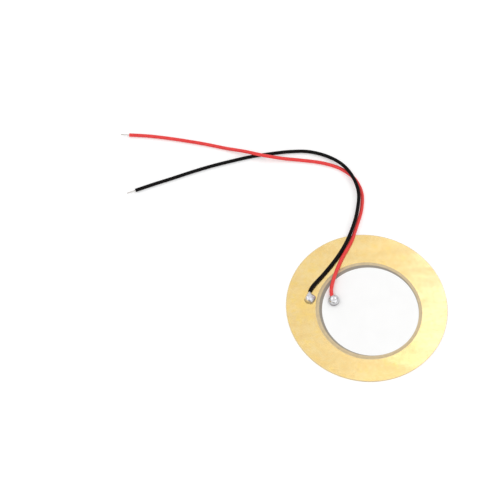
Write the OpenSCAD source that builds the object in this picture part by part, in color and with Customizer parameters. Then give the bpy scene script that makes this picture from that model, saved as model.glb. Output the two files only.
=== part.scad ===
// Piezo disc: a thin ceramic disc bonded to a round brass plate, with two soldered leads.
// Millimetres, +Z up. The origin is the centre of the plate's back face.

/* [Brass plate] */
// Diameter of the brass plate
plate_d = 35; // [29:0.5:42]
// Thickness of the brass sheet
plate_t = 0.3; // [0.2:0.05:0.5]
// Radius that the punch leaves on the upper edge
plate_edge_r = 0.08; // [0.02:0.01:0.15]

/* [Ceramic disc] */
// Diameter of the ceramic disc
ceramic_d = 22.6; // [18:0.1:27]
// Thickness of the ceramic disc
ceramic_t = 0.23; // [0.18:0.01:0.4]
// Offset of the bonded ceramic from the middle of the plate, along X
ceramic_x = 0.4; // [-1:0.05:1]
// Offset of the bonded ceramic from the middle of the plate, along Y
ceramic_y = -1; // [-1:0.05:1]
// Bevel ground on the ceramic's upper rim
ceramic_bevel = 0.03; // [0.01:0.01:0.06]

/* [Bond] */
// Thickness of the adhesive under the ceramic
bond_t = 0.02; // [0.01:0.005:0.05]
// How far the squeezed-out adhesive reaches past the ceramic
bond_foot = 0.25; // [0.1:0.05:0.45]
// How high the squeezed-out adhesive climbs the ceramic's rim
bond_climb = 0.12; // [0.05:0.01:0.15]

/* [Electrodes] */
// Thickness of each fired silver layer
silver_t = 0.01; // [0.005:0.005:0.03]
// Bare ceramic left round the upper silver, where the print is centred
top_margin = 0.85; // [0.5:0.05:1.5]
// Offset of the upper print from the middle of the ceramic, along X
print_x = 0.3; // [-0.3:0.05:0.3]
// Offset of the upper print from the middle of the ceramic, along Y
print_y = -0.3; // [-0.3:0.05:0.3]
// Bare ceramic left round the lower silver
bottom_margin = 0.3; // [0.1:0.05:1]

/* [Solder joint on the brass] */
// Width of the joint's foot
brass_joint_w = 2.4; // [2:0.1:3]
// Height of the joint above the brass
brass_joint_h = 1.25; // [1:0.05:1.6]
// Clear brass between the bond and the joint
brass_joint_gap = 0.1; // [0.1:0.05:0.6]
// Direction of the joint, seen from the middle of the ceramic
brass_joint_angle = 168.5; // [160:0.5:180]

/* [Solder joint on the silver] */
// Diameter of the bead
bead_d = 2.5; // [2:0.05:3]
// Height of the bead's middle above the silver
bead_lift = 0.25; // [0:0.05:0.5]
// Clear silver between the bead and the print's edge
bead_margin = 1.1; // [0.3:0.05:2]
// Direction of the bead, seen from the middle of the print
bead_angle = 164; // [155:1:175]

/* [Leads] */
// Outside diameter of a lead's plastic sleeve
sleeve_d = 0.8; // [0.6:0.05:1]
// Diameter of the stranded core
core_d = 0.3; // [0.2:0.02:0.4]
// Bare core at the free end
tip_length = 2; // [1:0.5:5]

/* [Hidden] */
$fn = 128;
// Sides of the round shapes that are blended into one
blend_sides = 28;

// The stack, from the back of the plate up
bond_z = plate_t;
bottom_silver_z = bond_z + bond_t;
ceramic_z = bottom_silver_z + silver_t;
top_silver_z = ceramic_z + ceramic_t;
stack_h = top_silver_z + silver_t;

plate_r = plate_d / 2;
ceramic_r = ceramic_d / 2;
top_silver_r = ceramic_r - top_margin;
bottom_silver_r = ceramic_r - bottom_margin;
ceramic_at = [ceramic_x, ceramic_y];
print_at = ceramic_at + [print_x, print_y];

function polar(r, angle) = r * [cos(angle), sin(angle)];
function lifted(xy, z) = [xy[0], xy[1], z];
function unit(v) = v / norm(v);

brass_joint_at = ceramic_at
    + polar(ceramic_r + bond_foot + brass_joint_gap + brass_joint_w / 2, brass_joint_angle);
bead_at = print_at + polar(top_silver_r - bead_margin - bead_d / 2, bead_angle);

// Leads. The first three points are counted from the solder joint, as [x, y, height of the
// lead's middle above the face]: the core's end inside the solder, the sleeve's end and the
// first point in the open. The others are counted from the origin, as [x, y, clear height
// under the sleeve in sleeve diameters].
black_from_joint = [[-0.3, 0, 0.55], [-0.15, 1.5, 0.58], [0.8, 3.2, 0.58]];
black_points = [
    [-9.1, 7.5, 0.04], [-6.3, 11.2, 0.15], [-4.1, 14.8, 0.5], [-2.4, 18.8, 0.8],
    [-1.2, 23.1, 0.9], [-0.7, 27.7, 1.1], [-1.7, 31.7, 1.1], [-4, 35.2, 1.05],
    [-7.4, 37.9, 0.25], [-11.7, 39.3, 0.03], [-16.2, 39.3, 0.03], [-20.7, 38.7, 0.03],
    [-25.2, 37.9, 0.03], [-29.7, 36.7, 0.03], [-34.1, 35.4, 0.03], [-38.4, 33.9, 0.03],
    [-42.8, 32.2, 0.03], [-47.1, 30.6, 0.03], [-51.4, 28.9, 0.03]
];
red_from_joint = [[-0.35, -0.3, 0.9], [-0.45, 0.6, 0.85], [-0.5, 2.9, 0.58]];
red_points = [
    [-6.6, 7.4, 0.08], [-4.9, 11.6, 0.08], [-2.8, 15.6, 0.04], [-1.3, 19.8, 0.04],
    [-0.1, 24.1, 0.03], [0.1, 28.3, 0.03], [-1.4, 32, 0.03], [-4.5, 34.7, 0.03],
    [-8.6, 36.2, 0.04], [-13.1, 36.9, 0.05], [-17.6, 37.3, 0.3], [-22.1, 37.7, 1.15],
    [-26.5, 39, 0.75], [-30.9, 40.2, 0.06], [-35.4, 41.3, 0.03], [-39.9, 42.2, 0.03],
    [-44.5, 43, 0.03], [-49, 43.6, 0.03], [-53.5, 43.9, 0.03]
];
// Sides of a lead, and rings from one point to the next
lead_sides = 8;
lead_steps = 2;
// How far past an edge a point of a lead is still held up by it
ceramic_hold = 1.4;
plate_hold = 4.5;

function ground(xy) =
    norm(xy - ceramic_at) < ceramic_r + ceramic_hold ? stack_h :
    norm(xy) < plate_r + plate_hold ? plate_t : 0;
function laid(p) = [p[0], p[1], ground([p[0], p[1]]) + sleeve_d * (0.5 + p[2])];

// Middle line of a lead: from inside the solder, through the points, to the end of the bare tip
function lead_line(joint_at, face_z, from_joint, points) =
    let (
        start = [for (p = from_joint) lifted(joint_at + [p[0], p[1]], face_z + p[2])],
        lain = [for (p = points) laid(p)],
        last = lain[len(lain) - 1],
        ahead = unit(last - lain[len(lain) - 2])
    )
    concat(start, lain, [last + tip_length * ahead]);

// One point of the smooth curve that passes through all points of a line
function spline_point(line, i, t) =
    let (
        n = len(line) - 1,
        b = line[i],
        c = line[i + 1],
        a = i > 0 ? line[i - 1] : 2 * b - c,
        d = i < n - 1 ? line[i + 2] : 2 * c - b
    )
    (2 * b + (c - a) * t + (2 * a - 5 * b + 4 * c - d) * t * t
        + (3 * b - a - 3 * c + d) * t * t * t) / 2;
function spline(line, steps) = concat(
    [for (i = [0:len(line) - 2]) for (k = [0:steps - 1]) spline_point(line, i, k / steps)],
    [line[len(line) - 1]]
);
function direction(curve, i) =
    unit(curve[min(i + 1, len(curve) - 1)] - curve[max(i - 1, 0)]);

// The points of one ring round the curve, with a flat side down
function ring(curve, i, r) =
    let (
        ahead = direction(curve, i),
        side = unit(cross(ahead, [0, 0, 1])),
        up = cross(side, ahead)
    )
    [for (k = [0:lead_sides - 1])
        let (angle = 360 * (k + 0.5) / lead_sides)
        curve[i] + r * (cos(angle) * side + sin(angle) * up)];
function rings(curve, first, last, r) = [for (i = [first:last]) each ring(curve, i, r)];

// Two triangles for each side between two rings, wound outwards, or inwards for a bore
function skin(count, base, inwards) = [
    for (i = [0:count - 2])
    for (k = [0:lead_sides - 1])
    let (
        next = (k + 1) % lead_sides,
        a = base + i * lead_sides + k,
        b = base + i * lead_sides + next,
        c = b + lead_sides,
        d = a + lead_sides
    )
    each (inwards ? [[a, c, b], [a, d, c]] : [[a, b, c], [a, c, d]])
];
// Two triangles for each side between an outer ring and an inner ring at one end
function rim(outer, inner, at_start) = [
    for (k = [0:lead_sides - 1])
    let (
        next = (k + 1) % lead_sides,
        a = outer + k,
        b = outer + next,
        c = inner + next,
        d = inner + k
    )
    each (at_start ? [[a, c, b], [a, d, c]] : [[a, b, c], [a, c, d]])
];

// A solid rod along the curve. Each station is [place on the curve, radius there]
module rod(curve, stations) {
    count = len(stations);
    start_cap = [for (k = [lead_sides - 1:-1:0]) k];
    end_cap = [for (k = [0:lead_sides - 1]) (count - 1) * lead_sides + k];
    polyhedron(
        [for (s = stations) each ring(curve, s[0], s[1])],
        concat([start_cap], skin(count, 0, false), [end_cap])
    );
}
function even_stations(first, last, r) = [for (i = [first:last]) [i, r]];

// A sleeve along the curve, with a bore that fits the core
module sleeve(curve, first, last) {
    count = last - first + 1;
    inner = count * lead_sides;
    polyhedron(
        concat(rings(curve, first, last, sleeve_d / 2), rings(curve, first, last, core_d / 2)),
        concat(
            skin(count, 0, false),
            skin(count, inner, true),
            rim(0, inner, true),
            rim(inner - lead_sides, 2 * inner - lead_sides, false)
        )
    );
}

black_curve = spline(
    lead_line(brass_joint_at, plate_t, black_from_joint, black_points), lead_steps
);
red_curve = spline(
    lead_line(bead_at, stack_h, red_from_joint, red_points), lead_steps
);

// The sleeve leaves one stretch of the core bare at each end
sleeve_first = lead_steps;
function sleeve_last(curve) = len(curve) - 1 - lead_steps;

// What a lead takes out of the solder that holds it: its core, and the end of its sleeve
module lead_start(curve) {
    rod(curve, concat(
        even_stations(0, sleeve_first, core_d / 2),
        even_stations(sleeve_first, sleeve_first + 1, sleeve_d / 2)
    ));
}
module core(curve) {
    rod(curve, even_stations(0, len(curve) - 1, core_d / 2));
}

module brass_plate() {
    color("#e3bd6b")
    rotate_extrude()
    polygon(concat(
        [[0, 0], [plate_r, 0]],
        [for (a = [0:15:90])
            [plate_r - plate_edge_r, plate_t - plate_edge_r] + polar(plate_edge_r, a)],
        [[0, plate_t]]
    ));
}

module bond_layer() {
    // The squeezed-out adhesive is hollow between the brass and the ceramic's rim
    corner = [ceramic_r + bond_foot, bond_climb + bond_t];
    foot = [for (a = [270:-15:180])
        corner + [bond_foot * cos(a), (bond_climb + bond_t) * sin(a)]];
    color("#c8b48c")
    translate(lifted(ceramic_at, bond_z))
    rotate_extrude()
    polygon(concat(
        [[0, 0]],
        foot,
        [[ceramic_r, bond_t + silver_t], [bottom_silver_r, bond_t + silver_t],
            [bottom_silver_r, bond_t], [0, bond_t]]
    ));
}

module bottom_electrode() {
    color("#dcdcd8")
    translate(lifted(ceramic_at, bottom_silver_z))
    cylinder(r = bottom_silver_r, h = silver_t);
}

module ceramic_disc() {
    color("#a89e90")
    translate(lifted(ceramic_at, ceramic_z))
    rotate_extrude()
    polygon([
        [0, 0], [ceramic_r, 0], [ceramic_r, ceramic_t - ceramic_bevel],
        [ceramic_r - ceramic_bevel, ceramic_t], [0, ceramic_t]
    ]);
}

module top_electrode() {
    color("#f4f4f1")
    translate(lifted(print_at, top_silver_z))
    cylinder(r = top_silver_r, h = silver_t);
}

// The joint on the brass set before it could flow out: four blunt corners, a ridge, and a
// neck that climbs the core up to the sleeve
module brass_solder() {
    corner_r = 0.3;
    corner_h = 0.15;
    corner_at = brass_joint_w / 2 - corner_r;
    ridge_r = 0.5;
    neck_r = 0.42 * sleeve_d;
    color("#c9c9cc")
    difference() {
        hull() {
            for (a = [80:90:350])
                translate(lifted(brass_joint_at + polar(corner_at, a), plate_t))
                cylinder(r = corner_r, h = corner_h, $fn = blend_sides);
            translate(lifted(brass_joint_at, plate_t + brass_joint_h - ridge_r))
            sphere(r = ridge_r, $fn = blend_sides);
            translate(black_curve[sleeve_first])
            sphere(r = neck_r, $fn = blend_sides);
        }
        lead_start(black_curve);
    }
}

// The bead on the silver drew itself up into a ball that is cut flat by the silver
module electrode_solder() {
    color("#c9c9cc")
    difference() {
        translate(lifted(bead_at, stack_h + bead_lift))
        sphere(d = bead_d);
        translate(lifted(bead_at - [bead_d, bead_d], stack_h - bead_d))
        cube([2 * bead_d, 2 * bead_d, bead_d]);
        lead_start(red_curve);
    }
}

module black_insulation() {
    color("#1c1b1d") sleeve(black_curve, sleeve_first, sleeve_last(black_curve));
}

module black_conductor() {
    color("#b9b4ac") core(black_curve);
}

module red_insulation() {
    color("#d92b2f") sleeve(red_curve, sleeve_first, sleeve_last(red_curve));
}

module red_conductor() {
    color("#b9b4ac") core(red_curve);
}

brass_plate();
bond_layer();
bottom_electrode();
ceramic_disc();
top_electrode();
brass_solder();
electrode_solder();
black_insulation();
black_conductor();
red_insulation();
red_conductor();
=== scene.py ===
"""Piezo disc with a black and a red lead: finish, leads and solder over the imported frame.

Metres, +Z up. The plate lies on the floor with its centre at the origin.
"""

import math

import bmesh
import bpy
import numpy as np
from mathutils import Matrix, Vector, noise


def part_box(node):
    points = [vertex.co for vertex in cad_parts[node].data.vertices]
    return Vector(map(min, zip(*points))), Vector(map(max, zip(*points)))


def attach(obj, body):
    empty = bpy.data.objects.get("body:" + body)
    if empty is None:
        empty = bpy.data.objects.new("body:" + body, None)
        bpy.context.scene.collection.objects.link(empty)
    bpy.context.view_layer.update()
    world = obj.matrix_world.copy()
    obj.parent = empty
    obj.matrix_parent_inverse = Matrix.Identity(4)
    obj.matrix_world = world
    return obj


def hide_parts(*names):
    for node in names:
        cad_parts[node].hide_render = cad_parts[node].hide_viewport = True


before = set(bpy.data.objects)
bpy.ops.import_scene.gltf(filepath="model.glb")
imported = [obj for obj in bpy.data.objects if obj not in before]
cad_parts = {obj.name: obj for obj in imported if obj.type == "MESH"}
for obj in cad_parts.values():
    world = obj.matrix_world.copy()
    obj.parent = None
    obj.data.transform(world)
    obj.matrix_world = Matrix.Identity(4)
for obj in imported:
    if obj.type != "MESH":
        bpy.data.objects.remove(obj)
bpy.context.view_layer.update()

MM = 0.001


# ---------------------------------------------------------------- places in the frame

PLATE_LOW, PLATE_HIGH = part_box("brass_plate")
CERAMIC_LOW, CERAMIC_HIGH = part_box("ceramic_disc")
BEAD_LOW, BEAD_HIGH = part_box("electrode_solder")
JOINT_LOW, JOINT_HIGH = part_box("brass_solder")

# The faces that the solder stands on: the brass, and the silver print on the ceramic
PLATE_TOP = PLATE_HIGH.z
STACK_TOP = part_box("top_electrode")[1].z

PLATE_RADIUS = (PLATE_HIGH.x - PLATE_LOW.x) / 2
PLATE_AT = (PLATE_LOW + PLATE_HIGH) / 2
CERAMIC_AT = (CERAMIC_LOW + CERAMIC_HIGH) / 2
CERAMIC_RADIUS = (CERAMIC_HIGH.x - CERAMIC_LOW.x) / 2

# The bead is round. The joint on the brass is as deep as it is wide, with a neck added at +Y.
BEAD_RADIUS = (BEAD_HIGH.x - BEAD_LOW.x) / 2
BEAD_AT = Vector(((BEAD_LOW.x + BEAD_HIGH.x) / 2, (BEAD_LOW.y + BEAD_HIGH.y) / 2, STACK_TOP))
JOINT_HALF = (JOINT_HIGH.x - JOINT_LOW.x) / 2
JOINT_AT = Vector((JOINT_LOW.x + JOINT_HALF, JOINT_LOW.y + JOINT_HALF, PLATE_TOP))


# ---------------------------------------------------------------- camera

# The photo's view: the camera's height above the floor as an angle, and where it aims there
VIEW_ELEVATION = math.radians(62.38)
VIEW_DISTANCE = 0.26711
VIEW_AIM = (PLATE_AT + Vector((-0.025307, 0.013802, 0))).xy.to_3d()
LENS_MM = 86.53
NEAREST_SEEN = 0.01


def make_camera():
    data = bpy.data.cameras.new("camera")
    data.lens = LENS_MM
    data.clip_start = NEAREST_SEEN
    camera = bpy.data.objects.new("camera", data)
    back = Vector((0, -math.cos(VIEW_ELEVATION), math.sin(VIEW_ELEVATION)))
    camera.location = VIEW_AIM + VIEW_DISTANCE * back
    camera.rotation_euler = (-back).to_track_quat("-Z", "Y").to_euler()
    bpy.context.scene.collection.objects.link(camera)
    bpy.context.scene.camera = camera


make_camera()


# ---------------------------------------------------------------- the leads' routes

SLEEVE_D = 0.8 * MM
CORE_D = 0.3 * MM
TIP_LENGTH = 2 * MM
# How far past the rim a lead keeps the height that it has on the ceramic, and on the plate
CERAMIC_HOLD = 1.4 * MM
PLATE_HOLD = 4.5 * MM
# Straight steps that stand for the curve between two of a lead's points
CURVE_STEPS = 40

# The routes that the CAD's leads follow. The first three points of a lead are counted from its
# solder joint, as (x, y, height of the lead's middle above the face): the core's end, the
# sleeve's end and the first open point. The others are counted from the origin, as (x, y, clear
# height under the sleeve in sleeve diameters).
BLACK_FROM_JOINT = [
    (-0.0003, 0, 0.00055), (-0.00015, 0.0015, 0.00058), (0.0008, 0.0032, 0.00058),
]
BLACK_POINTS = [
    (-0.0091, 0.0075, 0.04), (-0.0063, 0.0112, 0.15), (-0.0041, 0.0148, 0.5),
    (-0.0024, 0.0188, 0.8), (-0.0012, 0.0231, 0.9), (-0.0007, 0.0277, 1.1),
    (-0.0017, 0.0317, 1.1), (-0.004, 0.0352, 1.05), (-0.0074, 0.0379, 0.25),
    (-0.0117, 0.0393, 0.03), (-0.0162, 0.0393, 0.03), (-0.0207, 0.0387, 0.03),
    (-0.0252, 0.0379, 0.03), (-0.0297, 0.0367, 0.03), (-0.0341, 0.0354, 0.03),
    (-0.0384, 0.0339, 0.03), (-0.0428, 0.0322, 0.03), (-0.0471, 0.0306, 0.03),
    (-0.0514, 0.0289, 0.03),
]
RED_FROM_JOINT = [
    (-0.00035, -0.0003, 0.0009), (-0.00045, 0.0006, 0.00085), (-0.0005, 0.0029, 0.00058),
]
RED_POINTS = [
    (-0.0066, 0.0074, 0.08), (-0.0049, 0.0116, 0.08), (-0.0028, 0.0156, 0.04),
    (-0.0013, 0.0198, 0.04), (-0.0001, 0.0241, 0.03), (0.0001, 0.0283, 0.03),
    (-0.0014, 0.032, 0.03), (-0.0045, 0.0347, 0.03), (-0.0086, 0.0362, 0.04),
    (-0.0131, 0.0369, 0.05), (-0.0176, 0.0373, 0.3), (-0.0221, 0.0377, 1.15),
    (-0.0265, 0.039, 0.75), (-0.0309, 0.0402, 0.06), (-0.0354, 0.0413, 0.03),
    (-0.0399, 0.0422, 0.03), (-0.0445, 0.043, 0.03), (-0.049, 0.0436, 0.03),
    (-0.0535, 0.0439, 0.03),
]


def ground(x, y):
    """Height of the face that a lead lies on or still hangs over at x, y."""
    if math.hypot(x - CERAMIC_AT.x, y - CERAMIC_AT.y) < CERAMIC_RADIUS + CERAMIC_HOLD:
        return STACK_TOP
    if math.hypot(x - PLATE_AT.x, y - PLATE_AT.y) < PLATE_RADIUS + PLATE_HOLD:
        return PLATE_TOP
    return 0


def lead_line(joint_at, from_joint, points):
    """All points of a lead, from inside the solder to the end of its bare tip."""
    line = [joint_at + Vector(p) for p in from_joint]
    line += [Vector((x, y, ground(x, y) + SLEEVE_D * (0.5 + h))) for x, y, h in points]
    ahead = (line[-1] - line[-2]).normalized()
    return line + [line[-1] + TIP_LENGTH * ahead]


def spline_point(line, i, t):
    """A point of the smooth curve through the line, the share t of the way from i to i + 1."""
    b, c = line[i], line[i + 1]
    a = line[i - 1] if i > 0 else 2 * b - c
    d = line[i + 2] if i + 2 < len(line) else 2 * c - b
    return (
        2 * b + (c - a) * t + (2 * a - 5 * b + 4 * c - d) * t**2
        + (3 * b - a - 3 * c + d) * t**3
    ) / 2


def smooth(line, first, last, spacing):
    """The curve from the line's point first to its point last, as evenly spaced points."""
    dense = [
        spline_point(line, i, k / CURVE_STEPS)
        for i in range(first, last) for k in range(CURVE_STEPS)
    ]
    dense = np.array(dense + [line[last]])
    along = np.concatenate([[0], np.cumsum(np.linalg.norm(np.diff(dense, axis=0), axis=1))])
    even = np.linspace(0, along[-1], max(2, round(along[-1] / spacing) + 1))
    return np.stack([np.interp(even, along, dense[:, k]) for k in range(3)], axis=1)


def frames(path):
    """Unit vectors ahead, sideways and up at each point of a path."""
    ahead = np.gradient(path, axis=0)
    ahead /= np.linalg.norm(ahead, axis=1)[:, None]
    side = np.cross(ahead, (0, 0, 1))
    side /= np.linalg.norm(side, axis=1)[:, None]
    return ahead, side, np.cross(side, ahead)


# ---------------------------------------------------------------- mesh making

def new_object(name, vertices, faces):
    """A smooth-shaded mesh object whose faces all look outwards."""
    mesh = bpy.data.meshes.new(name)
    mesh.from_pydata([tuple(v) for v in vertices], [], faces)
    work = bmesh.new()
    work.from_mesh(mesh)
    bmesh.ops.recalc_face_normals(work, faces=work.faces)
    work.to_mesh(mesh)
    work.free()
    mesh.polygons.foreach_set("use_smooth", [True] * len(mesh.polygons))
    mesh.update()
    made = bpy.data.objects.new(name, mesh)
    bpy.context.scene.collection.objects.link(made)
    return made


def ring_points(path, stations, sides):
    """Rings round a path. A station is (index on the path, radius, shift along the path)."""
    ahead, side, up = frames(path)
    angles = 2 * math.pi * np.arange(sides) / sides
    rings = []
    for i, radius, shift in stations:
        centre = path[i] + shift * ahead[i]
        rings.append(
            centre + radius * (np.cos(angles)[:, None] * side[i] + np.sin(angles)[:, None] * up[i])
        )
    return np.concatenate(rings)


def ring_faces(count, sides, closed, base=0):
    """Quads between rings that follow each other.

    A closed run joins its last ring to its first. base is the index of the first point.
    """
    faces = []
    for i in range(count if closed else count - 1):
        for k in range(sides):
            here, there = base + i * sides, base + (i + 1) % count * sides
            following = (k + 1) % sides
            faces.append((here + k, here + following, there + following, there + k))
    return faces


SLEEVE_SIDES = 28
SLEEVE_SPACING = 0.3 * MM
# The cut ends of a sleeve: radius and shift of each ring, from the wall to the bore
SLEEVE_LIP = [
    (0.4 * MM, 0.06 * MM), (0.385 * MM, 0.02 * MM), (0.35 * MM, 0),
    (0.2 * MM, 0), (0.165 * MM, 0.02 * MM), (0.15 * MM, 0.06 * MM),
]


def make_sleeve(name, path):
    """A hollow plastic sleeve with slightly rounded cut ends."""
    last = len(path) - 1
    outer = [(i, SLEEVE_D / 2, 0) for i in range(1, last)]
    end_lip = [(last, radius, -shift) for radius, shift in SLEEVE_LIP]
    inner = [(i, CORE_D / 2, 0) for i in range(last - 1, 0, -1)]
    start_lip = [(0, radius, shift) for radius, shift in reversed(SLEEVE_LIP)]
    stations = outer + end_lip + inner + start_lip
    return new_object(
        name,
        ring_points(path, stations, SLEEVE_SIDES),
        ring_faces(len(stations), SLEEVE_SIDES, closed=True),
    )


OUTER_STRANDS = 6
STRAND_R = CORE_D / 6
STRAND_TIP_R = STRAND_R * 0.6
STRAND_TIP_LENGTH = STRAND_R * 0.4
STRAND_SIDES = 8
# The length in which a strand goes round once
STRAND_LAY = 3.2 * MM
STRAND_SPACING = 0.2 * MM
# So many strands in turn end 0, 1, 2 and so on points of their path before its end
STRAND_CUTS = 3


def make_strands(name, path):
    """Strands twisted round a straight one, as stranded hook-up wire has."""
    _, side, up = frames(path)
    step = np.linalg.norm(np.diff(path, axis=0), axis=1).mean()
    turn = 2 * math.pi * step / STRAND_LAY * np.arange(len(path))
    vertices, faces = [], []
    for strand in range(OUTER_STRANDS + 1):
        from_middle = 0 if strand == OUTER_STRANDS else 2 * STRAND_R
        angle = turn + 2 * math.pi * strand / OUTER_STRANDS
        around = np.cos(angle)[:, None] * side + np.sin(angle)[:, None] * up
        wire = (path + from_middle * around)[: len(path) - strand % STRAND_CUTS]
        stations = [(i, STRAND_R, 0) for i in range(len(wire))]
        stations.append((len(wire) - 1, STRAND_TIP_R, STRAND_TIP_LENGTH))
        base = sum(len(v) for v in vertices)
        end = base + len(stations) * STRAND_SIDES
        vertices.append(ring_points(wire, stations, STRAND_SIDES))
        faces += ring_faces(len(stations), STRAND_SIDES, closed=False, base=base)
        faces.append(list(range(base, base + STRAND_SIDES)))
        faces.append(list(range(end - 1, end - 1 - STRAND_SIDES, -1)))
    return new_object(name, np.concatenate(vertices), faces)


def make_lead(colour, joint_at, from_joint, points):
    """The sleeve and the strands of a lead, and the line of points that they follow."""
    line = lead_line(joint_at, from_joint, points)
    last = len(line) - 1
    sleeve_path = smooth(line, 1, last - 1, SLEEVE_SPACING)
    sleeve = make_sleeve(f"{colour}_sleeve", sleeve_path)
    strands = make_strands(f"{colour}_strands", smooth(line, 0, last, STRAND_SPACING))
    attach(sleeve, "root")
    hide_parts(f"{colour}_insulation")
    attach(strands, "root")
    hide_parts(f"{colour}_conductor")
    return sleeve, strands, line


black_sleeve, black_strands, black_line = make_lead(
    "black", JOINT_AT, BLACK_FROM_JOINT, BLACK_POINTS
)
red_sleeve, red_strands, red_line = make_lead("red", BEAD_AT, RED_FROM_JOINT, RED_POINTS)


# ---------------------------------------------------------------- solder

# The mesh of a solder piece, how far from its heart the surface is looked for, and how many
# times that reach is halved to find it
BLOB_COLUMNS = 144
BLOB_ROWS = 56
BLOB_REACH = 3.5 * MM
HALVINGS = 40


def smooth_max(a, b, blend):
    share = np.clip(0.5 + (a - b) / (2 * blend), 0, 1)
    return b + (a - b) * share + blend * share * (1 - share)


def smooth_min(a, b, blend):
    return -smooth_max(-a, -b, blend)


def capsule(points, start, end, start_radius, end_radius):
    """Distance to a round bar that tapers from one radius to another."""
    axis = end - start
    along = np.clip((points - start) @ axis / (axis @ axis), 0, 1)
    away = np.linalg.norm(points - start - along[:, None] * axis, axis=1)
    return away - (start_radius + (end_radius - start_radius) * along)


def blob(name, foot, heart_height, distance):
    """A closed solid that stands on its foot, where distance(points) is the surface at 0.

    Rays leave its heart, straight above the foot, and stop at the surface. The lowest row lies
    on the foot's level, and the flat underside closes it.
    """

    def hit(start, directions):
        low, high = np.zeros(len(directions)), np.full(len(directions), BLOB_REACH)
        for _ in range(HALVINGS):
            middle = (low + high) / 2
            inside = distance(start + middle[:, None] * directions) < 0
            low, high = np.where(inside, middle, low), np.where(inside, high, middle)
        return low[:, None]

    heart = np.array((0, 0, heart_height))
    around = 2 * math.pi * np.arange(BLOB_COLUMNS) / BLOB_COLUMNS
    level = np.stack([np.cos(around), np.sin(around), np.zeros(BLOB_COLUMNS)], axis=1)
    to_rim = hit(np.zeros(3), level)
    rim_tilt = np.arctan2(to_rim[:, 0], -heart_height)
    top = np.array([[0, 0, 1.0]])
    vertices = [heart + hit(heart, top) * top]
    for row in range(1, BLOB_ROWS):
        tilt = rim_tilt * row / BLOB_ROWS
        directions = np.stack(
            [np.cos(around) * np.sin(tilt), np.sin(around) * np.sin(tilt), np.cos(tilt)], axis=1
        )
        vertices.append(heart + hit(heart, directions) * directions)
    vertices += [to_rim * level, np.zeros((1, 3))]
    points = np.concatenate(vertices) + np.array(foot)

    under, rim = len(points) - 1, 1 + (BLOB_ROWS - 1) * BLOB_COLUMNS
    sides = [(k, (k + 1) % BLOB_COLUMNS) for k in range(BLOB_COLUMNS)]
    faces = [(0, 1 + k, 1 + following) for k, following in sides]
    faces += ring_faces(BLOB_ROWS, BLOB_COLUMNS, closed=False, base=1)
    faces += [(rim + k, rim + following, under) for k, following in sides]
    return new_object(name, points, faces)


def lumps(points, size, depth, seed):
    """Gentle noise up to that depth either way, with lumps of about that size."""
    shift = Vector((seed, 0, 0))
    return depth * np.array([noise.noise(Vector(p) / size + shift) for p in points])


def lead_ends(line, foot):
    """Where a lead's core and its sleeve end, counted from a solder joint's foot."""
    return [np.array(line[i] - foot) for i in (0, 1)]


# The joint on the brass set as a blunt four-sided cushion: the powers are 1 for a flat-sided
# pyramid and 2 for a round dome. A neck of solder runs from the core's end towards the sleeve.
JOINT_FOOT_AT = JOINT_AT + Vector((-0.04 * MM, 0.16 * MM, 0))
JOINT_TURN = math.radians(13)
JOINT_FOOT_POWER = 1.4
JOINT_PROFILE_POWER = 1.9
JOINT_HEIGHT = 1.1 * MM
JOINT_REACH = 1.33 * MM
JOINT_HEART = 0.3 * MM
JOINT_NECK_RADII = (0.85 * MM, 0.3 * MM)
JOINT_NECK_SHORT_BY = (0, 0.2 * MM, 0)
JOINT_NECK_BLEND = 0.35 * MM


def make_brass_joint():
    core_end, sleeve_end = lead_ends(black_line, JOINT_FOOT_AT)
    neck_end = sleeve_end - JOINT_NECK_SHORT_BY
    cosine, sine = math.cos(JOINT_TURN), math.sin(JOINT_TURN)
    turn = np.array([(cosine, sine), (-sine, cosine)])

    def distance(points):
        across = np.abs(points[:, :2] @ turn.T) / JOINT_REACH
        foot = (across ** JOINT_FOOT_POWER).sum(axis=1) ** (1 / JOINT_FOOT_POWER)
        rise = np.abs(points[:, 2]) / JOINT_HEIGHT
        cushion = (foot ** JOINT_PROFILE_POWER + rise ** JOINT_PROFILE_POWER) ** (
            1 / JOINT_PROFILE_POWER
        )
        neck = capsule(points, core_end, neck_end, *JOINT_NECK_RADII)
        body = smooth_min((cushion - 1) * JOINT_REACH, neck, JOINT_NECK_BLEND)
        return body + lumps(points, size=0.6 * MM, depth=0.02 * MM, seed=3)

    joint = blob("brass_joint", JOINT_FOOT_AT, JOINT_HEART, distance)
    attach(joint, "root")
    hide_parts("brass_solder")
    return joint


# The bead on the silver is a ball that the print cuts off below, with a like neck
BEAD_FOOT_AT = BEAD_AT + Vector((-0.04 * MM, 0.14 * MM, 0))
BEAD_MIDDLE = (BEAD_HIGH.z - STACK_TOP) - BEAD_RADIUS
BEAD_HEART = BEAD_MIDDLE + 0.15 * MM
BEAD_NECK_RADII = (0.5 * MM, 0.4 * MM)
BEAD_NECK_SHORT_BY = (0, 0.3 * MM, 0)
BEAD_NECK_BLEND = 0.12 * MM


def make_silver_bead():
    core_end, sleeve_end = lead_ends(red_line, BEAD_FOOT_AT)
    neck_end = sleeve_end - BEAD_NECK_SHORT_BY

    def distance(points):
        ball = np.linalg.norm(points - (0, 0, BEAD_MIDDLE), axis=1) - BEAD_RADIUS
        neck = capsule(points, core_end, neck_end, *BEAD_NECK_RADII)
        body = smooth_min(ball, neck, BEAD_NECK_BLEND)
        return body + lumps(points, size=0.7 * MM, depth=0.012 * MM, seed=7)

    bead = blob("silver_bead", BEAD_FOOT_AT, BEAD_HEART, distance)
    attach(bead, "root")
    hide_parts("electrode_solder")
    return bead


brass_joint = make_brass_joint()
silver_bead = make_silver_bead()


# ---------------------------------------------------------------- shader nodes

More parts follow.
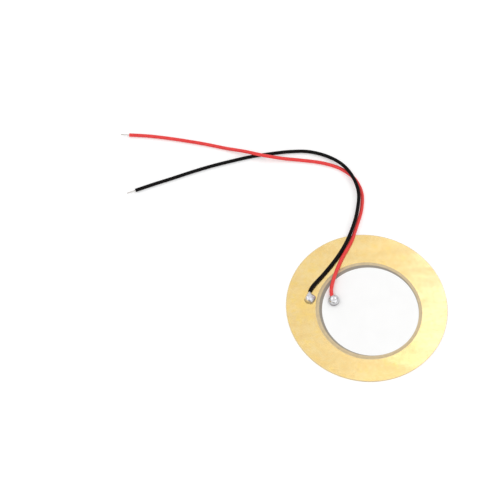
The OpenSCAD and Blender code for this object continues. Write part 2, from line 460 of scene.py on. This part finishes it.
class Nodes:
    """Short calls that add nodes to one tree."""

    def __init__(self, tree):
        self.tree = tree

    def add(self, kind, inputs=None, **settings):
        """A new node with its settings, and a number or a socket for each of its inputs."""
        made = self.tree.nodes.new(kind)
        for name, value in settings.items():
            setattr(made, name, value)
        for name, value in (inputs or {}).items():
            self.set(made.inputs[name], value)
        return made

    def set(self, socket, value):
        if isinstance(value, bpy.types.NodeSocket):
            self.tree.links.new(value, socket)
        else:
            socket.default_value = value

    def math(self, operation, a, b=0.0):
        return self.add("ShaderNodeMath", {0: a, 1: b}, operation=operation).outputs[0]

    def ramp(self, value, low, high, to_low=0.0, to_high=1.0, kind="SMOOTHSTEP"):
        """A value that goes from to_low to to_high as the given one goes from low to high."""
        return self.add("ShaderNodeMapRange", {
            "Value": value, "From Min": low, "From Max": high, "To Min": to_low,
            "To Max": to_high,
        }, interpolation_type=kind).outputs["Result"]

    def seen_as_white(self):
        """1 for rays from the camera, a metal or a glass surface, and 0 for other light."""
        path = self.add("ShaderNodeLightPath").outputs
        mirrored = self.math("MAXIMUM", path["Is Glossy Ray"], path["Is Transmission Ray"])
        return self.math("MAXIMUM", path["Is Camera Ray"], mirrored)


class Paint(Nodes):
    """A material on one principled shader."""

    def __init__(self, name, **constants):
        self.material = bpy.data.materials.new(name)
        self.material.use_nodes = True
        super().__init__(self.material.node_tree)
        self.shader = self.tree.nodes["Principled BSDF"]
        self.feed(**constants)
        self.where = self.add("ShaderNodeTexCoord").outputs["Object"]

    def feed(self, **sockets):
        """Values for the shader's own sockets, with _ for the spaces in their names."""
        for name, value in sockets.items():
            self.set(self.shader.inputs[name.replace("_", " ")], value)

    def noise(self, size, detail=2.0, roughness=0.5, stretch=(1, 1, 1)):
        """Noise from 0 to 1 whose lumps are about that size, in metres."""
        placed = self.add("ShaderNodeMapping", {
            "Vector": self.where, "Scale": [s / size for s in stretch],
        })
        return self.add("ShaderNodeTexNoise", {
            "Vector": placed.outputs["Vector"], "Scale": 1.0, "Detail": detail,
            "Roughness": roughness,
        }).outputs["Fac"]

    def mix(self, share, a, b):
        made = self.add("ShaderNodeMix", data_type="RGBA")
        for socket, value in (("Factor_Float", share), ("A_Color", a), ("B_Color", b)):
            target = next(s for s in made.inputs if s.identifier == socket)
            self.set(target, (*value, 1) if isinstance(value, tuple) else value)
        return next(s for s in made.outputs if s.identifier == "Result_Color")

    def between(self, value, first, second, low=0.3, high=0.7):
        """One colour where the value is low and another where it is high."""
        return self.mix(self.ramp(value, low, high), first, second)

    def layered(self, colour, *layers):
        """A colour with others over it. A layer is (its share, its colour)."""
        for share, layer in layers:
            colour = self.mix(share, colour, layer)
        return colour

    def part(self, axis):
        """One coordinate in the frame, in metres."""
        return self.add("ShaderNodeSeparateXYZ", {"Vector": self.where}).outputs[axis]

    def away_from(self, point, stretch=(1, 1, 1)):
        """Distance from a point of the frame, in metres."""
        shifted = self.add("ShaderNodeVectorMath", {0: self.where, 1: point}, operation="SUBTRACT")
        scaled = self.add(
            "ShaderNodeVectorMath", {0: shifted.outputs[0], 1: stretch}, operation="MULTIPLY"
        )
        length = self.add("ShaderNodeVectorMath", {0: scaled.outputs[0]}, operation="LENGTH")
        return length.outputs["Value"]

    def ragged(self, distance, noise, depth):
        """A distance whose even lines wander by up to that depth."""
        return self.math("ADD", distance, self.math("MULTIPLY", noise, depth))

    def bump(self, height, depth, normal=None):
        inputs = {"Height": height, "Distance": depth, "Strength": 1.0}
        if normal is not None:
            inputs["Normal"] = normal
        return self.add("ShaderNodeBump", inputs).outputs["Normal"]

    def cover(self, *pieces):
        for piece in pieces:
            piece.data.materials.clear()
            piece.data.materials.append(self.material)


# ---------------------------------------------------------------- materials

# Colours are linear. A pair is the two that a material wanders between.
BRASS = (0.79, 0.58, 0.25), (0.83, 0.635, 0.295)
BRASS_YELLOW = (0.86, 0.63, 0.2)
BRASS_FLECK = (0.86, 0.62, 0.17)
# Painted highlight: the paler brass laid on towards +X
BRASS_PAINTED_HIGHLIGHT = (0.83, 0.67, 0.38)
# Painted reflection: a darker tan streak on the brass
BRASS_PAINTED_REFLECTION = (0.76, 0.52, 0.25)
BRASS_FINE = (0.84, 0.6, 0.24)
BRASS_MOTTLE_DARK = (0.76, 0.49, 0.18)
BRASS_MOTTLE_PALE = (0.85, 0.71, 0.41)
BRASS_STAIN = (0.86, 0.6, 0.16)
# Painted shade: a darker brass along the rim
BRASS_PAINTED_RIM_SHADE = (0.6, 0.5, 0.32)
ADHESIVE = (0.62, 0.5, 0.29), (0.7, 0.57, 0.34)
BARE_CERAMIC = (0.25, 0.22, 0.18), (0.31, 0.27, 0.22)
FILM = (0.57, 0.45, 0.27), (0.64, 0.51, 0.31)
SILVER = (0.925, 0.925, 0.92), (0.94, 0.94, 0.935)
SILVER_SPECK = (0.74, 0.72, 0.72)
DULL_SOLDER = (0.62, 0.62, 0.66), (0.76, 0.76, 0.79)
BRIGHT_SOLDER = (0.57, 0.57, 0.59), (0.71, 0.71, 0.72)
# Darker colour at a solder's foot: flux residue, and painted shade where the solder meets the face
FLUX_AND_PAINTED_SHADE = (0.3, 0.28, 0.3)
BLACK_PVC = (0.003, 0.0025, 0.0025), (0.007, 0.006, 0.006)
RED_PVC = (0.74, 0.03, 0.03), (0.84, 0.05, 0.045)
TINNED_COPPER = (0.72, 0.71, 0.7), (0.6, 0.56, 0.52)

# Where the brass changes: it is flecked towards -X, and it has a stain of heat and flux round
# the joint. A painted highlight makes it paler towards +X, a painted reflection lays a darker tan
# streak towards +X and +Y, and painted shade darkens the rim
# Painted highlight: the brass turns paler across this band of X
PAINTED_HIGHLIGHT_SIDE = (4 * MM, 17 * MM)
FLECKED_SIDE = (-17 * MM, -4 * MM)
# Painted reflection: a darker tan streak, drawn out along X, centred here
PAINTED_REFLECTION_AT = PLATE_AT + Vector((13.5 * MM, 8.5 * MM, 0))
PAINTED_REFLECTION_STRETCH = (0.28, 1, 0)
PAINTED_REFLECTION_EDGE = (0.7 * MM, 1.9 * MM)
STAIN_AT = JOINT_AT + Vector((-0.6 * MM, -0.4 * MM, 0))
STAIN_EDGE = (2.2 * MM, 5.5 * MM)
# Painted shade: the brass darkens across this band along the rim
PAINTED_RIM_SHADE_EDGE = (PLATE_RADIUS - 0.22 * MM, PLATE_RADIUS - 0.04 * MM)
# Noise is drawn out along X, the way the sheet was rolled
ALONG_ROLL = (0.3, 1, 1)
GRAIN_STRETCH = (0.04, 1, 1)
WAVE_STRETCH = (0.4, 1, 1)
# Adhesive covers the ceramic's edge outside this circle
FILM_AT = CERAMIC_AT + Vector((0.03 * MM, -0.02 * MM, 0))
FILM_RADIUS = 10.79 * MM
FILM_EDGE = 0.12 * MM
# Height above a solder joint's foot over which its darker foot fades out: flux residue, and
# painted shade where the solder meets the face
FLUX_AND_SHADE_EDGE = (0.3 * MM, 0.8 * MM)
# How much rougher a sleeve is where it is scuffed
SCUFFED_BY = 0.14
# To measure a distance in the plate's plane only
FLAT = (1, 1, 0)


def brass():
    paint = Paint("brass", Metallic=1.0)
    x = paint.part("X")
    clouds = paint.noise(2.6 * MM, detail=3, roughness=0.6)
    flecks = paint.ramp(paint.noise(1.5 * MM, detail=5, roughness=0.7), 0.42, 0.8)
    # Distance from the painted reflection's streak, with ragged edges
    from_painted_reflection = paint.ragged(
        paint.away_from(PAINTED_REFLECTION_AT, PAINTED_REFLECTION_STRETCH), paint.noise(1.5 * MM, stretch=ALONG_ROLL), 0.8 * MM
    )
    fine = paint.noise(0.5 * MM, detail=4, stretch=ALONG_ROLL)
    mottle = paint.noise(1.0 * MM, detail=3, roughness=0.6)
    from_stain = paint.ragged(
        paint.away_from(STAIN_AT), paint.noise(1.2 * MM, detail=3), 3 * MM
    )
    colour = paint.layered(
        paint.between(paint.noise(3 * MM, detail=3, stretch=ALONG_ROLL), *BRASS),
        (paint.ramp(clouds, 0.52, 0.72, 0, 0.6), BRASS_YELLOW),
        (paint.math("MULTIPLY", flecks, paint.ramp(x, *FLECKED_SIDE, 0.9, 0)), BRASS_FLECK),
        # Painted highlight: paler towards +X
        (paint.ramp(x, *PAINTED_HIGHLIGHT_SIDE, 0, 0.85), BRASS_PAINTED_HIGHLIGHT),
        # Painted reflection: the darker tan streak
        (paint.ramp(from_painted_reflection, *PAINTED_REFLECTION_EDGE, 0.7, 0), BRASS_PAINTED_REFLECTION),
        (paint.ramp(fine, 0.45, 0.75, 0, 0.3), BRASS_FINE),
        (paint.ramp(mottle, 0.5, 0.66, 0, 0.22), BRASS_MOTTLE_DARK),
        (paint.ramp(mottle, 0.34, 0.5, 0.22, 0), BRASS_MOTTLE_PALE),
        (paint.ramp(from_stain, *STAIN_EDGE, 0.4, 0), BRASS_STAIN),
        # Painted shade: darker along the rim
        (paint.ramp(paint.away_from(PLATE_AT, FLAT), *PAINTED_RIM_SHADE_EDGE, 0, 0.6), BRASS_PAINTED_RIM_SHADE),
    )
    polish = paint.noise(2 * MM, detail=3, stretch=ALONG_ROLL)
    waves = paint.bump(paint.noise(6 * MM, detail=1, stretch=WAVE_STRETCH), 0.16 * MM)
    grain = paint.noise(0.08 * MM, detail=2, stretch=GRAIN_STRETCH)
    paint.feed(
        Base_Color=colour,
        Roughness=paint.ramp(polish, 0.3, 0.7, 0.2, 0.25),
        Normal=paint.bump(grain, 0.002 * MM, waves),
    )
    paint.cover(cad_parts["brass_plate"])


def adhesive():
    paint = Paint("adhesive", Roughness=0.45)
    paint.feed(
        Base_Color=paint.between(paint.noise(0.8 * MM, detail=3), *ADHESIVE),
        Normal=paint.bump(paint.noise(0.3 * MM), 0.02 * MM),
    )
    paint.cover(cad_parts["bond_layer"])


def ceramic():
    """Grey-brown where the ceramic is bare, tan where adhesive crept over its edge."""
    paint = Paint("piezo_ceramic", Roughness=0.5)
    grain = paint.noise(0.15 * MM, detail=4)
    from_middle = paint.ragged(
        paint.away_from(FILM_AT, FLAT), paint.noise(0.9 * MM, detail=2), 0.12 * MM
    )
    colour = paint.layered(
        paint.between(grain, *BARE_CERAMIC),
        (
            paint.ramp(from_middle, FILM_RADIUS, FILM_RADIUS + FILM_EDGE),
            paint.between(paint.noise(0.7 * MM, detail=3), *FILM),
        ),
    )
    paint.feed(Base_Color=colour, Normal=paint.bump(grain, 0.004 * MM))
    paint.cover(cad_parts["ceramic_disc"])


def fired_silver():
    paint = Paint("fired_silver", Roughness=0.5, Metallic=0.1)
    specks = paint.ramp(paint.noise(0.25 * MM, detail=2), 0.68, 0.76, 0, 0.12)
    colour = paint.layered(
        paint.between(paint.noise(4 * MM, detail=3), *SILVER), (specks, SILVER_SPECK)
    )
    paint.feed(
        Base_Color=colour, Normal=paint.bump(paint.noise(0.12 * MM, detail=3), 0.004 * MM)
    )
    paint.cover(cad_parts["top_electrode"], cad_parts["bottom_electrode"])


def solder(name, colours, roughness, foot, flux_and_shade, piece):
    """Solder whose foot is darker: residue of soldering, and painted shade where it meets the
    face.
    The argument after foot is that darker colour's share at the foot.
    """
    paint = Paint(name, Metallic=0.9)
    frost = paint.noise(0.35 * MM, detail=4)
    low, high = FLUX_AND_SHADE_EDGE
    # Painted shade, partly flux residue: darker near the foot, fading upwards
    ring = paint.ramp(paint.part("Z"), foot + low, foot + high, flux_and_shade, 0)
    paint.feed(
        Base_Color=paint.layered(paint.between(frost, *colours), (ring, FLUX_AND_PAINTED_SHADE)),
        Roughness=paint.ramp(frost, 0.35, 0.7, *roughness),
        Normal=paint.bump(paint.noise(0.2 * MM, detail=3), 0.006 * MM),
    )
    paint.cover(piece)


def plastic(name, colours, roughness, gloss, piece):
    paint = Paint(name, Specular_IOR_Level=gloss)
    scuff = paint.noise(0.9 * MM, detail=4, roughness=0.6)
    paint.feed(
        Base_Color=paint.between(scuff, *colours),
        Roughness=paint.ramp(scuff, 0.3, 0.75, roughness, roughness + SCUFFED_BY),
        Normal=paint.bump(paint.noise(0.5 * MM, detail=3), 0.006 * MM),
    )
    paint.cover(piece)


def tinned_copper():
    paint = Paint("tinned_copper", Metallic=1.0)
    dull = paint.noise(0.3 * MM, detail=3)
    paint.feed(
        Base_Color=paint.between(dull, *TINNED_COPPER, low=0.35),
        Roughness=paint.ramp(dull, 0.3, 0.7, 0.24, 0.4),
    )
    paint.cover(black_strands, red_strands)


brass()
adhesive()
ceramic()
fired_silver()
solder(
    "dull_solder", DULL_SOLDER, roughness=(0.2, 0.34), foot=PLATE_TOP, flux_and_shade=0.7, piece=brass_joint
)
solder(
    "bright_solder", BRIGHT_SOLDER, roughness=(0.08, 0.14), foot=STACK_TOP, flux_and_shade=0.9,
    piece=silver_bead,
)
plastic("black_pvc", BLACK_PVC, roughness=0.4, gloss=0.06, piece=black_sleeve)
plastic("red_pvc", RED_PVC, roughness=0.34, gloss=0.4, piece=red_sleeve)
tinned_copper()


# ---------------------------------------------------------------- stage and light

FLOOR_HALF = 3.0
FLOOR_COLOUR = (0.8, 0.8, 0.8, 1)
FLOOR_ROUGHNESS = 0.9
WHITE = (1, 1, 1, 1)
# The lamps don't reach the far floor, so its own white makes up for them
FLOOR_DISTANCES = (0.3, 1.2)
FLOOR_GLOWS = (0.3, 0.5)
WORLD_LIGHT = 0.79
# What metal mirrors, by the x, y and z of a direction: walls up to a height under a white
# ceiling, greyer at the sides than in front and behind, and at -Y the camera's dark stand,
# which narrows upwards
WALL_HEIGHTS = (0.02, 0.36)
SIDES_FROM = (0.6, 0.85)
WALL_GREY = 0.8
SIDE_WALL_GREY = 0.3
STAND_AT = -0.1
STAND_HALF = 0.45
STAND_EDGE = 0.06
STAND_TAPER = 1.4
STAND_GREY = 0.02
STAND_ENDS_AT = (-0.2, 0.1)
# Name, place, size and watts. All of them look at the origin.
LAMPS = [
    ("key", (-0.55, 0.35, 0.7), (0.7, 0.7), 0.9),
    ("side", (0.37, 0.33, 0.81), (0.42, 0.4), 0.72),
    ("front left", (-0.6, -0.6, 0.5), (1.1, 0.9), 1.2),
    ("front right", (0.6, -0.6, 0.5), (1.1, 0.9), 1.4),
]


def make_floor():
    corners = [(-1, -1), (1, -1), (1, 1), (-1, 1)]
    floor = new_object(
        "floor", [(x * FLOOR_HALF, y * FLOOR_HALF, 0) for x, y in corners], [(0, 1, 2, 3)]
    )
    paint = Paint(
        "floor", Base_Color=FLOOR_COLOUR, Roughness=FLOOR_ROUGHNESS, Emission_Color=WHITE
    )
    glow = paint.ramp(paint.away_from((0, 0, 0)), *FLOOR_DISTANCES, *FLOOR_GLOWS, kind="LINEAR")
    paint.feed(Emission_Strength=paint.math("MULTIPLY", paint.seen_as_white(), glow))
    paint.cover(floor)


def make_world():
    """White to the camera, even light for what isn't metal, and a room for metal to mirror."""
    world = bpy.data.worlds.new("studio")
    bpy.context.scene.world = world
    world.use_nodes = True
    nodes = Nodes(world.node_tree)
    direction = nodes.add("ShaderNodeTexCoord").outputs["Generated"]
    x, y, z = nodes.add("ShaderNodeSeparateXYZ", {0: direction}).outputs

    sideways = nodes.math("ABSOLUTE", x)
    wall = nodes.ramp(sideways, *SIDES_FROM, WALL_GREY, SIDE_WALL_GREY, kind="LINEAR")
    ceiling = nodes.ramp(z, *WALL_HEIGHTS, SIDE_WALL_GREY, 1, kind="LINEAR")
    from_stand = nodes.math("ABSOLUTE", nodes.math("SUBTRACT", x, STAND_AT))
    across = nodes.math("ADD", from_stand, nodes.math("MULTIPLY", z, STAND_TAPER))
    beside_stand = nodes.ramp(
        across, STAND_HALF - STAND_EDGE, STAND_HALF + STAND_EDGE, STAND_GREY, 1, kind="LINEAR"
    )
    behind_stand = nodes.ramp(y, *STAND_ENDS_AT, kind="LINEAR")
    room = nodes.math(
        "MULTIPLY", nodes.math("MAXIMUM", ceiling, wall),
        nodes.math("MAXIMUM", beside_stand, behind_stand),
    )

    to_camera = nodes.add("ShaderNodeLightPath").outputs["Is Camera Ray"]
    seen = nodes.seen_as_white()
    shown = nodes.math("MULTIPLY", seen, nodes.math("MAXIMUM", room, to_camera))
    light = nodes.math("MULTIPLY", nodes.math("SUBTRACT", 1, seen), WORLD_LIGHT)
    background = nodes.tree.nodes["Background"]
    nodes.set(background.inputs["Color"], WHITE)
    nodes.set(background.inputs["Strength"], nodes.math("ADD", shown, light))


def make_lamp(name, place, size, watts):
    data = bpy.data.lights.new(name, "AREA")
    data.shape = "RECTANGLE"
    data.size, data.size_y = size
    data.energy = watts
    lamp = bpy.data.objects.new(name, data)
    lamp.location = place
    lamp.rotation_euler = (-Vector(place)).to_track_quat("-Z", "Y").to_euler()
    bpy.context.scene.collection.objects.link(lamp)


make_floor()
make_world()
for lamp_values in LAMPS:
    make_lamp(*lamp_values)
bpy.context.scene.view_settings.view_transform = "Standard"
